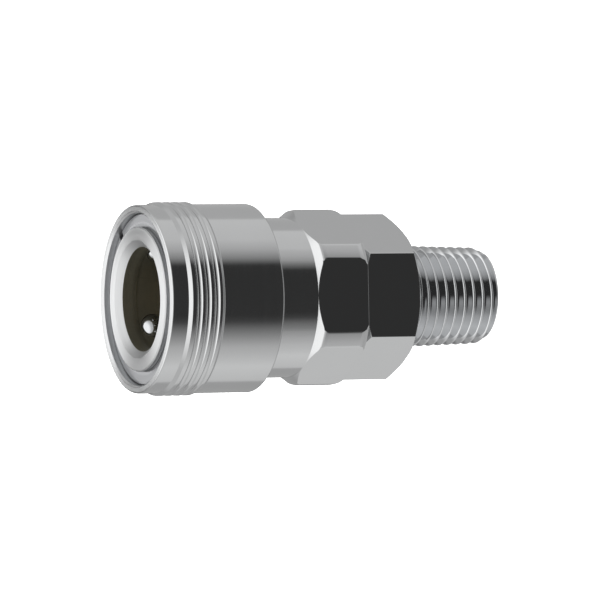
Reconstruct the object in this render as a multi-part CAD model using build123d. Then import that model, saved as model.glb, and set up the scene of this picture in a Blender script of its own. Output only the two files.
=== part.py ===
from build123d import *
import math
import os

# Pneumatic quick coupling, one-way socket with a tapered male pipe thread, in millimetres.
# The origin is the centre of the thread's end face. +Z runs along the axis to the plug mouth.

# Lengths along the axis, stacked from the thread end up to the mouth
thread_length = 13.15
adapter_hex_length = 7.9
body_hex_length = 7.2
neck_length = 5.55
sleeve_length = 15.85
nose_setback = 0.25

# Widths across flats of the two spanner hexagons, and how far their flats are turned
body_hex_flats = 21.0
body_hex_corners = 23.15
adapter_hex_flats = 19.0
hex_sides = 6
hex_turn = 1.1
hex_front_bevel = 0.85
hex_rear_bevel = 0.5
hex_rear_drop = 0.38
hex_polish_length = 0.65
hex_polish_drop = 0.12
adapter_bevel_angle = 30.0
adapter_face_radius = 10.35

# Tapered pipe thread, 1/4 inch: crest diameter at the gauge plane, and a taper of 1 in 16
thread_gauge_diameter = 13.157
thread_gauge_length = 6.01
thread_taper = 1.0 / 16.0
thread_pitch = 1.337
thread_depth = 0.64 * thread_pitch
thread_flank_angle = 27.5
thread_root_width = 0.1
thread_clearance = 0.12
thread_crest_angle = 280.0
thread_runout = 1.9
thread_end_bevel = 1.2
thread_end_drop = 0.7
flow_radius = 4.25
flow_edge_bevel = 0.3

# Clearances
running_gap = 0.04
seat_gap = 0.02
fixed_gap = 0.03

# Body nose, plug mouth and ball cage
nose_radius = 9.45
nose_bevel = 0.15
funnel_mouth_radius = 7.7
funnel_depth = 0.75
mouth_radius = 6.8
cage_bore_radius = 7.0
cage_radius = 9.9
cage_web = 0.3
cage_lead = 1.25
cage_tail = 1.2
neck_radius = 10.5
neck_bevel = 0.2

# Stop ring, an open snap ring in a groove of the nose
ring_groove_radius = 8.9
ring_groove_setback = 0.7
ring_thickness = 0.9
ring_rim_gap = 0.13
ring_opening_angle = 9.0
ring_opening_direction = 38.0

# Lock balls
ball_radius = 2.0
ball_hole_gap = 0.05
ball_hold_gap = 0.12
ball_clear_gap = 0.05
ball_count = 4
ball_direction = 121.0

# Sleeve
sleeve_travel = 4.0
collar_radius = 12.3
collar_length = 2.32
band_radius = 12.65
band_rise_length = 0.46
band_length = 4.22
band_fall_length = 0.38
sleeve_radius = 12.35
sleeve_edge_bevel = 0.22
rim_outer_round = 0.3
rim_inner_bevel = 0.12
rim_wall = 1.05
land_lead = 0.1
land_length = 2.6
lip_length = 1.25
lip_setback = 0.2
lip_bevel = 0.25
groove_count = 3
groove_pitch = 1.22
groove_first = 0.97
groove_width = 0.8
groove_depth = 0.2

# Plug packing, its collar and the valve chamber
flange_thickness = 0.8
flange_radius = 6.1
packing_length = 2.4
packing_bore_radius = 5.75
packing_lip_depth = 0.5
packing_lip_width = 0.45
collar_ring_length = 1.2
collar_ring_radius = 6.4
chamber_radius = 7.9

# Valve, its seal, and the holder that guides the stem
valve_travel = 4.0
valve_head_radius = 7.1
valve_head_thickness = 1.1
valve_head_bevel = 0.3
valve_boss_radius = 4.6
valve_boss_height = 2.1
valve_boss_bevel = 0.5
valve_dimple_radius = 2.2
valve_dimple_depth = 0.6
valve_seal_thickness = 0.9
valve_seal_radius = 6.9
stem_radius = 2.4
stem_tip = 0.4
stem_bevel = 0.3
holder_thickness = 1.5
holder_seat_radius = 8.2
holder_rim_radius = 6.3
holder_hub_radius = 3.6
holder_arm_width = 1.7
holder_arm_count = 3

# Adapter spigot that screws into the body, and its sealing ring
spigot_length = 5.5
spigot_thread_radius = 8.8
spigot_bore_radius = 6.2
spigot_bevel = 0.5
spigot_bore_depth = 7.0
spigot_undercut_radius = 8.35
seal_squeeze_bevel = 0.25
seal_pocket_depth = 1.15
seal_pocket_radius = 9.5

# Springs: wire radius and the gap beside the coil. The turns fill a share of the closed length
sleeve_spring_wire = 0.4
sleeve_spring_gap = 0.15
valve_spring_wire = 0.35
valve_spring_gap = 0.3
spring_fill = 0.9
spring_wire_sides = 6

# Stations along the axis
z_shoulder = thread_length
z_joint = z_shoulder + adapter_hex_length
z_neck = z_joint + body_hex_length
z_sleeve_rear = z_neck + neck_length
z_rim = z_sleeve_rear + sleeve_length
z_nose = z_rim - nose_setback
z_groove_top = z_nose - ring_groove_setback
z_ring_top = z_groove_top - seat_gap
z_ring_bottom = z_ring_top - ring_thickness
z_groove_bottom = z_ring_bottom - seat_gap
ball_hole_radius = ball_radius + ball_hole_gap
z_balls = z_groove_bottom - cage_lead - ball_hole_radius
z_funnel = z_nose - funnel_depth
z_mouth_land = z_balls + ball_hole_radius + cage_web / 2
z_flange_top = z_balls - ball_hole_radius - cage_tail
z_flange_bottom = z_flange_top - flange_thickness
z_packing_bottom = z_flange_bottom - seat_gap - packing_length
z_valve_seat = z_packing_bottom - seat_gap - collar_ring_length
z_seal_bottom = z_valve_seat - seat_gap - valve_seal_thickness
z_head_top = z_seal_bottom - seat_gap
z_head_bottom = z_head_top - valve_head_thickness
z_boss_top = z_valve_seat + valve_boss_height
z_spigot_top = z_joint + spigot_length
z_holder_bottom = z_spigot_top + seat_gap
z_holder_top = z_holder_bottom + holder_thickness
z_holder_step = z_holder_top + seat_gap
z_stem_end = z_holder_bottom + stem_tip
z_lip_top = z_sleeve_rear + lip_length
z_spring_seat = z_lip_top + lip_setback

# Radii and places that follow from the fits
rim_bore_radius = collar_radius - rim_wall
ring_outer_radius = rim_bore_radius - ring_rim_gap
land_radius = cage_radius + running_gap
ball_centre_radius = land_radius - ball_hold_gap - ball_radius
ball_travel = mouth_radius - (ball_centre_radius - ball_radius) + seat_gap
relief_radius = ball_centre_radius + ball_radius + ball_travel + ball_clear_gap
z_land_top = z_balls + land_lead
z_land_bottom = z_land_top - land_length
z_relief_bottom = z_land_top + (relief_radius - land_radius)
z_ring_stop = z_ring_bottom - seat_gap
lip_radius = neck_radius + running_gap
sleeve_spring_radius = cage_radius + sleeve_spring_gap + sleeve_spring_wire
spring_chamber_radius = sleeve_spring_radius + sleeve_spring_wire + sleeve_spring_gap
valve_spring_radius = stem_radius + valve_spring_gap + valve_spring_wire
z_collar = z_rim - collar_length
z_band_top = z_collar - band_rise_length
z_band_bottom = z_band_top - band_length
z_plain = z_band_bottom - band_fall_length


def revolved(outline):
    """Turn a closed outline of (radius, height) points about the axis."""
    points = [(radius, 0, height) for radius, height in outline]
    face = make_face(Polyline(*points, close=True))
    return revolve(face, Axis.Z, 360)


def plain_ring(inner, outer, low, high):
    """A ring of rectangular section."""
    return revolved([(inner, low), (outer, low), (outer, high), (inner, high)])


def hexagon(flats, low, high):
    """A hexagonal prism with one pair of flats turned to face -Y and +Y."""
    outline = RegularPolygon(radius=flats / 2, side_count=hex_sides, major_radius=False)
    prism = extrude(outline, high - low)
    return Pos(0, 0, low) * Rot(0, 0, hex_flat_angle(outline)) * prism


def hex_flat_angle(outline):
    """Angle that brings the middle of the outline's first side to -Y, plus the turn of the flats."""
    middle = outline.edges()[0] @ 0.5
    return hex_turn - 90.0 - math.degrees(math.atan2(middle.Y, middle.X))


def around(count, first):
    """Turns about the axis, evenly spaced from a first direction in degrees."""
    return [Rot(0, 0, first + 360.0 * index / count) for index in range(count)]


def compression_spring(wire, radius, travel, low, high):
    """A coil between two seats that still closes up over its travel, with its ends ground flat."""
    turns = spring_fill * (high - low - travel) / (2 * wire)
    path = Helix(pitch=(high - low) / turns, height=high - low, radius=radius)
    section = Plane(origin=path @ 0, z_dir=path % 0) * RegularPolygon(wire, spring_wire_sides)
    coil = Pos(0, 0, low) * sweep(section, path=path, is_frenet=True)
    ground_length = high - low - 2 * seat_gap
    slab = Pos(0, 0, (low + high) / 2) * Cylinder(radius + 2 * wire, ground_length)
    return coil & slab


def thread_radius(height):
    """Crest radius of the tapered thread at a height above its end face."""
    return (thread_gauge_diameter + (height - thread_gauge_length) * thread_taper) / 2


def body_hexagon():
    """The body's spanner hexagon with its corners turned down and bevelled at both ends."""
    corner = body_hex_corners / 2
    polished = corner - hex_polish_drop
    envelope = revolved([
        (0, z_joint),
        (corner - hex_rear_drop, z_joint),
        (polished, z_joint + hex_rear_bevel),
        (corner, z_joint + hex_rear_bevel + hex_polish_length),
        (corner, z_neck - hex_front_bevel - hex_polish_length),
        (polished, z_neck - hex_front_bevel),
        (body_hex_flats / 2, z_neck),
        (0, z_neck),
    ])
    return hexagon(body_hex_flats, z_joint, z_neck) & envelope


def body_barrel():
    """The turned outside of the body above the hexagon: neck, ball cage, ring groove and nose."""
    return revolved([
        (0, z_neck - neck_bevel),
        (neck_radius, z_neck - neck_bevel),
        (neck_radius, z_spring_seat - neck_bevel),
        (neck_radius - neck_bevel, z_spring_seat),
        (cage_radius, z_spring_seat),
        (cage_radius, z_groove_bottom),
        (ring_groove_radius, z_groove_bottom),
        (ring_groove_radius, z_groove_top),
        (nose_radius, z_groove_top),
        (nose_radius, z_nose - nose_bevel),
        (nose_radius - nose_bevel, z_nose),
        (0, z_nose),
    ])


def body_bore():
    """Everything bored out of the body, from the plug mouth down to the adapter's thread."""
    return revolved([
        (0, z_joint),
        (seal_pocket_radius, z_joint),
        (seal_pocket_radius, z_joint + seal_pocket_depth),
        (spigot_thread_radius, z_joint + seal_pocket_depth),
        (spigot_thread_radius, z_spigot_top + seat_gap),
        (holder_seat_radius, z_spigot_top + seat_gap),
        (holder_seat_radius, z_holder_step),
        (chamber_radius, z_holder_step),
        (chamber_radius, z_flange_bottom),
        (flange_radius, z_flange_bottom),
        (flange_radius, z_flange_top),
        (cage_bore_radius, z_flange_top),
        (cage_bore_radius, z_mouth_land),
        (mouth_radius, z_mouth_land),
        (mouth_radius, z_funnel),
        (funnel_mouth_radius, z_nose),
        (0, z_nose),
    ])


def ball_seat():
    """Drilled hole for one ball along +X, closing in to a lip that keeps the ball from falling in."""
    depth = cage_radius - ball_centre_radius + cage_web
    drill = Pos(ball_centre_radius + depth / 2, 0, z_balls) * Rot(0, 90, 0) * Cylinder(ball_hole_radius, depth)
    pocket = Pos(ball_centre_radius, 0, z_balls) * Sphere(ball_hole_radius)
    return drill + pocket


def make_body():
    """Turned body with hexagon, ball cage and nose."""
    body = body_hexagon() + body_barrel() - body_bore()
    for turn in around(ball_count, ball_direction):
        body -= turn * ball_seat()
    return body


def make_balls():
    """The lock balls, each held by the sleeve's land so that it stands into the plug bore."""
    ball = Pos(ball_centre_radius, 0, z_balls) * Sphere(ball_radius)
    return [turn * ball for turn in around(ball_count, ball_direction)]


def make_stop_ring():
    """Open snap ring that stops the sleeve at the nose."""
    inner = ring_groove_radius + fixed_gap
    ring = plain_ring(inner, ring_outer_radius, z_ring_bottom, z_ring_top)
    reach = 2 * ring_outer_radius
    half = math.radians(ring_opening_angle / 2)
    wedge_outline = Polyline(
        (0, 0, z_ring_bottom),
        (reach * math.cos(half), -reach * math.sin(half), z_ring_bottom),
        (reach * math.cos(half), reach * math.sin(half), z_ring_bottom),
        close=True,
    )
    wedge = extrude(make_face(wedge_outline), ring_thickness, dir=(0, 0, 1))
    return ring - Rot(0, 0, ring_opening_direction) * wedge


def sleeve_outline():
    """Half section of the sleeve, from its rear edge round the outside to the rim and back inside."""
    outside = [
        (sleeve_radius - sleeve_edge_bevel, z_sleeve_rear),
        (sleeve_radius, z_sleeve_rear + sleeve_edge_bevel),
        (sleeve_radius, z_plain),
        (band_radius, z_band_bottom),
        (band_radius, z_band_top),
        (collar_radius, z_collar),
        (collar_radius, z_rim),
    ]
    inside = [
        (rim_bore_radius + rim_inner_bevel, z_rim),
        (rim_bore_radius, z_rim - rim_inner_bevel),
        (rim_bore_radius, z_ring_stop),
        (relief_radius, z_ring_stop),
        (relief_radius, z_relief_bottom),
        (land_radius, z_land_top),
        (land_radius, z_land_bottom),
        (spring_chamber_radius, z_land_bottom),
        (spring_chamber_radius, z_lip_top),
        (lip_radius, z_lip_top),
        (lip_radius, z_sleeve_rear + lip_bevel),
        (lip_radius + lip_bevel, z_sleeve_rear),
    ]
    return outside + inside


def grip_groove():
    """The ring that cuts one shallow, round-bottomed grip groove round the sleeve's band."""
    groove_round = (groove_width ** 2 / 4 + groove_depth ** 2) / (2 * groove_depth)
    return Torus(band_radius - groove_depth + groove_round, groove_round)


def make_sleeve():
    """Sliding sleeve with its grip band, ball land, relief and spring chamber."""
    sleeve = revolved(sleeve_outline())
    outer_rim = sleeve.edges().group_by(Axis.Z)[-1].sort_by(SortBy.RADIUS)[-1]
    sleeve = fillet(outer_rim, rim_outer_round)
    for index in range(groove_count):
        sleeve -= Pos(0, 0, z_band_top - groove_first - index * groove_pitch) * grip_groove()
    return sleeve


def make_packing():
    """Rubber ring that seals round the plug, with a lip groove in its front face."""
    outer = chamber_radius - fixed_gap
    top = z_flange_bottom - seat_gap
    lip_middle = (packing_bore_radius + flange_radius) / 2 + packing_lip_width
    return revolved([
        (packing_bore_radius, z_packing_bottom),
        (outer, z_packing_bottom),
        (outer, top),
        (lip_middle + packing_lip_width, top),
        (lip_middle, top - packing_lip_depth),
        (lip_middle - packing_lip_width / 2, top),
        (packing_bore_radius, top),
    ])


def make_packing_collar():
    """Pressed ring behind the packing, whose rear edge is the valve seat."""
    outer = chamber_radius - fixed_gap
    return plain_ring(collar_ring_radius, outer, z_valve_seat, z_packing_bottom - seat_gap)


def make_valve():
    """Valve with a boss that the plug pushes, a head that carries the seal, and a guided stem."""
    return revolved([
        (0, z_stem_end),
        (stem_radius - stem_bevel, z_stem_end),
        (stem_radius, z_stem_end + stem_bevel),
        (stem_radius, z_head_bottom),
        (valve_head_radius - valve_head_bevel, z_head_bottom),
        (valve_head_radius, z_head_bottom + valve_head_bevel),
        (valve_head_radius, z_head_top),
        (valve_boss_radius, z_head_top),
        (valve_boss_radius, z_boss_top - valve_boss_bevel),
        (valve_boss_radius - valve_boss_bevel, z_boss_top),
        (valve_dimple_radius, z_boss_top),
        (0, z_boss_top - valve_dimple_depth),
    ])


def make_valve_seal():
    """Flat rubber ring on the valve head."""
    return plain_ring(valve_boss_radius + fixed_gap, valve_seal_radius, z_seal_bottom, z_valve_seat - seat_gap)


def make_valve_holder():
    """Spider that rests on the adapter's spigot and guides the valve stem."""
    outer = holder_seat_radius - fixed_gap
    middle = (z_holder_bottom + z_holder_top) / 2
    arm_length = (holder_rim_radius + outer) / 2
    arm = Pos(arm_length / 2, 0, middle) * Box(arm_length, holder_arm_width, holder_thickness)
    holder = plain_ring(holder_rim_radius, outer, z_holder_bottom, z_holder_top)
    holder += Pos(0, 0, middle) * Cylinder(holder_hub_radius, holder_thickness)
    for turn in around(holder_arm_count, hex_turn):
        holder += turn * arm
    return holder - Pos(0, 0, middle) * Cylinder(stem_radius + running_gap, 2 * holder_thickness)


def adapter_hexagon():
    """The adapter's spanner hexagon, its corners bevelled at both ends."""
    corner = adapter_hex_flats / 2 / math.cos(math.pi / hex_sides)
    slope = math.tan(math.radians(adapter_bevel_angle))
    envelope = revolved([
        (0, z_shoulder),
        (adapter_hex_flats / 2, z_shoulder),
        (corner, z_shoulder + (corner - adapter_hex_flats / 2) * slope),
        (corner, z_joint - (corner - adapter_face_radius) * slope),
        (adapter_face_radius, z_joint),
        (0, z_joint),
    ])
    return hexagon(adapter_hex_flats, z_shoulder, z_joint) & envelope


def thread_groove():
    """The thread's groove: a V carried up the taper in a right-handed helix, to a stop near the hexagon."""
    height = z_shoulder - thread_runout + thread_pitch
    start = thread_radius(-thread_pitch)
    cone_angle = math.degrees(math.atan(thread_taper / 2))
    path = Helix(pitch=thread_pitch, height=height, radius=start, cone_angle=cone_angle)
    crest = start + thread_clearance
    root = start - thread_depth
    mouth = thread_root_width / 2 + (crest - root) * math.tan(math.radians(thread_flank_angle))
    section = make_face(Polyline(
        (crest, 0, -mouth),
        (root, 0, -thread_root_width / 2),
        (root, 0, thread_root_width / 2),
        (crest, 0, mouth),
        close=True,
    ))
    groove = sweep(section, path=path, is_frenet=True)
    return Pos(0, 0, -thread_pitch) * Rot(0, 0, thread_crest_angle + 180.0) * groove


def adapter_thread():
    """The tapered pipe thread, its first turn bevelled."""
    taper = revolved([
        (0, 0),
        (thread_radius(0), 0),
        (thread_radius(z_shoulder), z_shoulder),
        (0, z_shoulder),
    ])
    bevelled = thread_radius(thread_end_bevel)
    bevel_slope = thread_end_bevel / thread_end_drop
    widest = thread_radius(z_shoulder) + thread_clearance
    envelope = revolved([
        (0, 0),
        (bevelled - thread_end_drop, 0),
        (bevelled, thread_end_bevel),
        (widest, thread_end_bevel + (widest - bevelled) * bevel_slope),
        (widest, z_shoulder),
        (0, z_shoulder),
    ])
    return (taper - thread_groove()) & envelope


def adapter_spigot():
    """The turned spigot in front of the hexagon, with the neck that its sealing ring sits on."""
    thread_crest = spigot_thread_radius - fixed_gap
    return revolved([
        (0, z_shoulder),
        (spigot_undercut_radius, z_shoulder),
        (spigot_undercut_radius, z_joint + seal_pocket_depth),
        (thread_crest, z_joint + seal_pocket_depth + seat_gap),
        (thread_crest, z_spigot_top - spigot_bevel),
        (thread_crest - spigot_bevel, z_spigot_top),
        (0, z_spigot_top),
    ])


def adapter_bore():
    """The air way through the adapter, wide behind the valve and narrow in the thread."""
    z_step = z_spigot_top - spigot_bore_depth
    return revolved([
        (0, 0),
        (flow_radius + flow_edge_bevel, 0),
        (flow_radius, flow_edge_bevel),
        (flow_radius, z_step - (spigot_bore_radius - flow_radius)),
        (spigot_bore_radius, z_step),
        (spigot_bore_radius, z_spigot_top),
        (0, z_spigot_top),
    ])


def make_adapter():
    """Adapter with its hexagon, tapered pipe thread and spigot."""
    return adapter_thread() + adapter_hexagon() + adapter_spigot() - adapter_bore()


def make_adapter_seal():
    """Rubber ring squeezed into the pocket between the body and the adapter."""
    inner = spigot_undercut_radius + fixed_gap
    outer = seal_pocket_radius - fixed_gap
    low = z_joint + seat_gap
    high = z_joint + seal_pocket_depth - seat_gap
    return revolved([
        (inner, low + seal_squeeze_bevel),
        (inner + seal_squeeze_bevel, low),
        (outer - seal_squeeze_bevel, low),
        (outer, low + seal_squeeze_bevel),
        (outer, high - seal_squeeze_bevel),
        (outer - seal_squeeze_bevel, high),
        (inner + seal_squeeze_bevel, high),
        (inner, high - seal_squeeze_bevel),
    ])


def make_parts():
    """Every piece of the coupling by name."""
    parts = {
        "body": make_body(),
        "adapter": make_adapter(),
        "adapter_seal": make_adapter_seal(),
        "sleeve": make_sleeve(),
        "stop_ring": make_stop_ring(),
        "sleeve_spring": compression_spring(
            sleeve_spring_wire, sleeve_spring_radius, sleeve_travel, z_spring_seat, z_land_bottom
        ),
        "plug_packing": make_packing(),
        "packing_collar": make_packing_collar(),
        "valve": make_valve(),
        "valve_seal": make_valve_seal(),
        "valve_spring": compression_spring(
            valve_spring_wire, valve_spring_radius, valve_travel, z_holder_top, z_head_bottom
        ),
        "valve_holder": make_valve_holder(),
    }
    for number, ball in enumerate(make_balls(), start=1):
        parts[f"lock_ball_{number}"] = ball
    return parts


def main():
    os.makedirs("parts", exist_ok=True)
    for name, solid in make_parts().items():
        export_step(solid, f"parts/{name}.step")


main()
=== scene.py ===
import math

import bmesh
import bpy
from bpy.props import FloatProperty, FloatVectorProperty, IntProperty, PointerProperty
from mathutils import Matrix, Vector


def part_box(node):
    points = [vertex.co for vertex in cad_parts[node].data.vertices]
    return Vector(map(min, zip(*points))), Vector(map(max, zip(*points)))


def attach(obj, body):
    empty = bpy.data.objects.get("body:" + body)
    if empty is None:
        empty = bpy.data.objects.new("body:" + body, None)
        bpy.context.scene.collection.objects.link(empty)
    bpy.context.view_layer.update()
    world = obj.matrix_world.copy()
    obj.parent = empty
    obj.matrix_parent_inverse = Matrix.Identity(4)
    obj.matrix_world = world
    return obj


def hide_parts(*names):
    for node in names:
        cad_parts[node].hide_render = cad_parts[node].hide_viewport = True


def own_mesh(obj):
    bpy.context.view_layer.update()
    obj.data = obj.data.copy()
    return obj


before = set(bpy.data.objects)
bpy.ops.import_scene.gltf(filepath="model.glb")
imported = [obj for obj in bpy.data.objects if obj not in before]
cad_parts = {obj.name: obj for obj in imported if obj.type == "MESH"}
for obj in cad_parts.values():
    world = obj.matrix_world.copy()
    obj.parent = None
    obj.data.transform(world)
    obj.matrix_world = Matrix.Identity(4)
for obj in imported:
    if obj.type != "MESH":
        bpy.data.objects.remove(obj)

bl_info = {
    "name": "Pneumatic Quick Coupling",
    "version": (1, 0, 0),
    "blender": (4, 5, 0),
    "location": "3D View > Sidebar > Coupling",
    "description": "Builds the chromed look of an air line quick coupling round its packed solids",
    "category": "Add Mesh",
}

MM = 0.001

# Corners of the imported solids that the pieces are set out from
SLEEVE_LOW, SLEEVE_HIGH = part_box("sleeve")
BODY_LOW, BODY_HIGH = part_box("body")
ADAPTER_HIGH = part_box("adapter")[1]
RING_LOW, RING_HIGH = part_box("stop_ring")
VALVE_LOW, VALVE_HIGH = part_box("valve")
PACKING_LOW, PACKING_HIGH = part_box("plug_packing")
SEAL_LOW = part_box("valve_seal")[0]
HOLDER_LOW, HOLDER_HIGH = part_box("valve_holder")
BALL_LOW, BALL_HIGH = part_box("lock_ball_1")
SLEEVE_SPRING_LOW, SLEEVE_SPRING_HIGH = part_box("sleeve_spring")
VALVE_SPRING_LOW, VALVE_SPRING_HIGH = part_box("valve_spring")
SEAT_GAP = 0.02 * MM

# How finely the meshes are divided
TURNED_COLUMNS = 240
SMALL_COLUMNS = 144
FLAT_COLUMNS = 24
BREAK_ANGLES = (-0.9, -0.6, -0.3, 0.0, 0.3, 0.6, 0.9)
ROUND_STEPS = 4
ROUND_ROOM = 0.45
MERGE_DISTANCE = 2e-7
SHARP_ANGLE = math.radians(38)
FLATS = 6
FLAT_NORMAL_TOLERANCE = math.radians(1.2)
UPRIGHT_TOLERANCE = 0.02
STRAIGHT_TOLERANCE = 1e-4
NORMAL_WEIGHT = 50
QUARTER_TURN = 0.25


def length(name, description, millimetres):
    """A property that holds a length, shown in Blender's own units."""
    return FloatProperty(
        name=name, description=description, default=millimetres * MM, unit="LENGTH", precision=5
    )


def share(name, description, value, top=1.0):
    """A property that holds a share or a strength."""
    return FloatProperty(name=name, description=description, default=value, min=0.0, max=top)


def angle(name, description, degrees):
    """A property that holds an angle."""
    return FloatProperty(
        name=name, description=description, default=math.radians(degrees), subtype="ANGLE"
    )


def tint(name, description, value):
    """A property that holds a surface colour."""
    return FloatVectorProperty(
        name=name, description=description, default=value, size=3, min=0.0, max=1.0, subtype="COLOR"
    )


class CouplingSleeveSizes(bpy.types.PropertyGroup):
    plain_radius: length("Plain radius", "Radius of the smooth rear half of the sleeve", 12.35)
    collar_radius: length("Collar radius", "Radius of the collar in front of the grip band", 12.3)
    collar_length: length("Collar length", "Length of the collar up to the rim", 2.32)
    band_rise: length("Front slope", "Length of the slope from the collar up to the grip band", 0.46)
    band_length: length("Band length", "Length of the grip band with its grooves", 4.22)
    band_fall: length("Rear slope", "Length of the slope down behind the grip band", 0.38)
    rear_bevel: length("Rear bevel", "Bevel of the rear edge", 0.22)
    rim_round: length("Rim rounding", "Rounding of the rim's outer edge", 0.3)
    rim_bevel: length("Rim bevel", "Bevel on the rim's inner edge", 0.25)
    rim_bore: length("Rim bore", "Radius of the bore inside the rim", 11.25)
    groove_first: length("First groove", "From the front of the band to the middle of the first groove", 0.97)
    groove_pitch: length("Groove pitch", "From groove to groove", 1.22)
    groove_width: length("Groove width", "Width of a round-bottomed groove at its mouth", 0.8)
    groove_depth: length("Groove depth", "Depth of a groove", 0.2)
    groove_count: IntProperty(name="Grooves", description="Number of grip grooves", default=3, min=0, max=3)
    edge_round: length("Edge rounding", "Rounding of the turned edges", 0.07)


class CouplingBodySizes(bpy.types.PropertyGroup):
    hex_flats: length("Across flats", "Width across the flats of the body's hexagon", 21.0)
    hex_corners: length("Across corners", "Diameter that the hexagon's corners are turned to", 23.15)
    hex_length: length("Hexagon length", "Length of the hexagon", 7.2)
    front_bevel: length("Front bevel", "Length of the hexagon's bevel towards the neck", 0.85)
    rear_bevel: length("Rear bevel", "Length of the hexagon's bevel towards the adapter", 0.5)
    rear_drop: length("Rear bevel depth", "How far the corners are turned down at the joint", 0.38)
    polish_length: length("Polished length", "Length of the soft fall from the corners to each bevel", 0.65)
    polish_drop: length("Polished depth", "Depth of the soft fall from the corners to each bevel", 0.12)
    hex_turn: angle("Turn of the flats", "How far the flats of both hexagons are turned", 1.1)
    neck_radius: length("Neck radius", "Radius of the neck between the hexagon and the sleeve", 10.5)
    cage_radius: length("Cage radius", "Outside radius of the ball cage", 9.9)
    nose_radius: length("Nose radius", "Outside radius of the nose ring", 9.45)
    nose_bevel: length("Nose bevel", "Bevel of the nose's outer edge", 0.15)
    funnel_radius: length("Funnel radius", "Radius at the mouth of the lead-in", 7.7)
    funnel_depth: length("Funnel depth", "Depth of the lead-in", 0.75)
    mouth_radius: length("Plug bore", "Radius of the bore that the plug goes into", 6.8)
    edge_round: length("Edge rounding", "Rounding of the turned edges", 0.07)
    ball_radius: length("Ball radius", "Radius of the lock balls", 2.0)


class CouplingAdapterSizes(bpy.types.PropertyGroup):
    hex_flats: length("Across flats", "Width across the flats of the adapter's hexagon", 19.0)
    face_radius: length("Face radius", "Radius of the flat face where the hexagon meets the body", 9.65)
    thread_length: length("Thread length", "From the end face to the hexagon", 13.15)
    pitch: length("Pitch", "Pitch of the pipe thread", 1.337)
    gauge_diameter: length("Gauge diameter", "Crest diameter at the gauge plane", 13.157)
    gauge_length: length("Gauge length", "From the end face to the gauge plane", 6.01)
    taper: share("Taper", "Change of the diameter for each unit of length", 1.0 / 16.0)
    depth: length("Thread depth", "Depth of the thread from crest to root", 1.05)
    crest_round: length("Crest rounding", "Height over which the crests are rounded", 0.17)
    root_round: length("Root rounding", "Height over which the roots are rounded", 0.22)
    start_angle: angle("Thread start", "Where a crest crosses the end face, about the axis", 280)
    runout_start: length("Run-out start", "Distance from the hexagon where the thread starts to fade", 2.3)
    runout_end: length("Run-out end", "Distance from the hexagon where the thread has faded out", 1.0)
    end_bevel: length("End bevel", "Length of the bevel on the thread's first turn", 1.2)
    end_drop: length("End bevel depth", "How far the bevel is turned down at the end face", 0.7)
    bore_radius: length("Air bore", "Radius of the air way through the thread", 4.25)
    bore_bevel: length("Bore bevel", "Bevel at the end of the air way", 0.3)
    edge_round: length("Edge rounding", "Rounding of the hexagon's edges", 0.07)


class CouplingSpringSizes(bpy.types.PropertyGroup):
    sleeve_wire: length("Sleeve spring wire", "Wire radius of the spring behind the sleeve", 0.4)
    valve_wire: length("Valve spring wire", "Wire radius of the valve's spring", 0.35)
    fill: share("Fill", "Share of each spring's shortest length that its wire takes up", 0.9)
    travel: length("Travel", "How far each spring is pressed together", 4.0)


class CouplingFinishes(bpy.types.PropertyGroup):
    chrome: tint("Chrome", "Colour of the chrome plate", (0.603, 0.609, 0.612))
    thread_chrome: tint("Thread chrome", "Colour of the plate on the thread", (0.68, 0.69, 0.70))
    # The satin finish inside the rim is the plate's own, and its colour, lighter than the chrome, paints
    # light on that wall
    satin_chrome: tint("Satin chrome", "Colour of the plate inside the rim", (0.86, 0.87, 0.88))
    chrome_roughness: share("Chrome roughness", "Roughness of the turned chrome faces", 0.14)
    streaks: share("Turning marks", "Depth of the fine marks that run round the turned faces", 0.55)
    brass: tint("Brass", "Colour of the valve and its holder", (0.70, 0.50, 0.25))
    # Bore: the bare metal's tone made dark to paint the shade deep in the bore, with a brown tint that paints
    # the brass valve's reflection
    bore: tint("Bore", "Colour of the bare bore behind the lead-in", (0.2, 0.19, 0.145))
    rubber: tint("Rubber", "Colour of the packing and the seals", (0.018, 0.018, 0.019))
    ring: tint("Snap ring", "Colour of the plated snap ring", (0.31, 0.315, 0.325))
    steel: tint("Steel", "Colour of the springs", (0.42, 0.42, 0.43))
    balls: tint("Lock balls", "Colour of the polished balls", (0.58, 0.59, 0.60))


class CouplingStageSettings(bpy.types.PropertyGroup):
    floor_size: length("Floor size", "Side of the pale floor", 6000.0)
    lens: FloatProperty(name="Lens", description="Focal length of the camera", default=385.3, unit="CAMERA")
    lift: angle("Camera lift", "How far the camera looks down on the mouth", 24.09)
    roll: angle("Camera roll", "Tilt of the picture", -0.64)
    distance: length("Camera distance", "From the camera to the rim, along the view", 832.2)
    left: length("Rim to the left", "How far the rim lies to the left of the picture's middle", 21.27)
    low: length("Rim below", "How far the rim lies below the picture's middle", 0.04)
    ceiling: share("Ceiling light", "Brightness of the light over the mouth", 1.45, 10.0)
    ground: share("Ground light", "Brightness that comes up from below", 0.55, 10.0)


# Outlines: closed lists of corners, each a radius, a height and, where it is rounded, its rounding


def wall(radius, start, end, *rounding):
    """The two corners of a round wall that runs from one height to another."""
    return (radius, start, *rounding), (radius, end, *rounding)


def corner_points(here, last, after, rounding=0.0):
    """Points that round one corner of an outline, or the corner itself."""
    corner = Vector(here)
    if rounding == 0:
        return [corner]
    back = Vector(last) - corner
    ahead = Vector(after) - corner
    room = ROUND_ROOM * min(back.length, ahead.length)
    if room < MERGE_DISTANCE:
        return [corner] * (ROUND_STEPS + 1)
    half = back.angle(ahead) / 2
    reach = min(room, rounding / math.tan(half)) if half < math.pi / 2 - STRAIGHT_TOLERANCE else 0.0
    start = corner + back.normalized() * reach
    end = corner + ahead.normalized() * reach
    points = []
    for step in range(ROUND_STEPS + 1):
        t = step / ROUND_STEPS
        points.append(start * (1 - t) ** 2 + corner * (2 * t * (1 - t)) + end * t**2)
    return points


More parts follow.
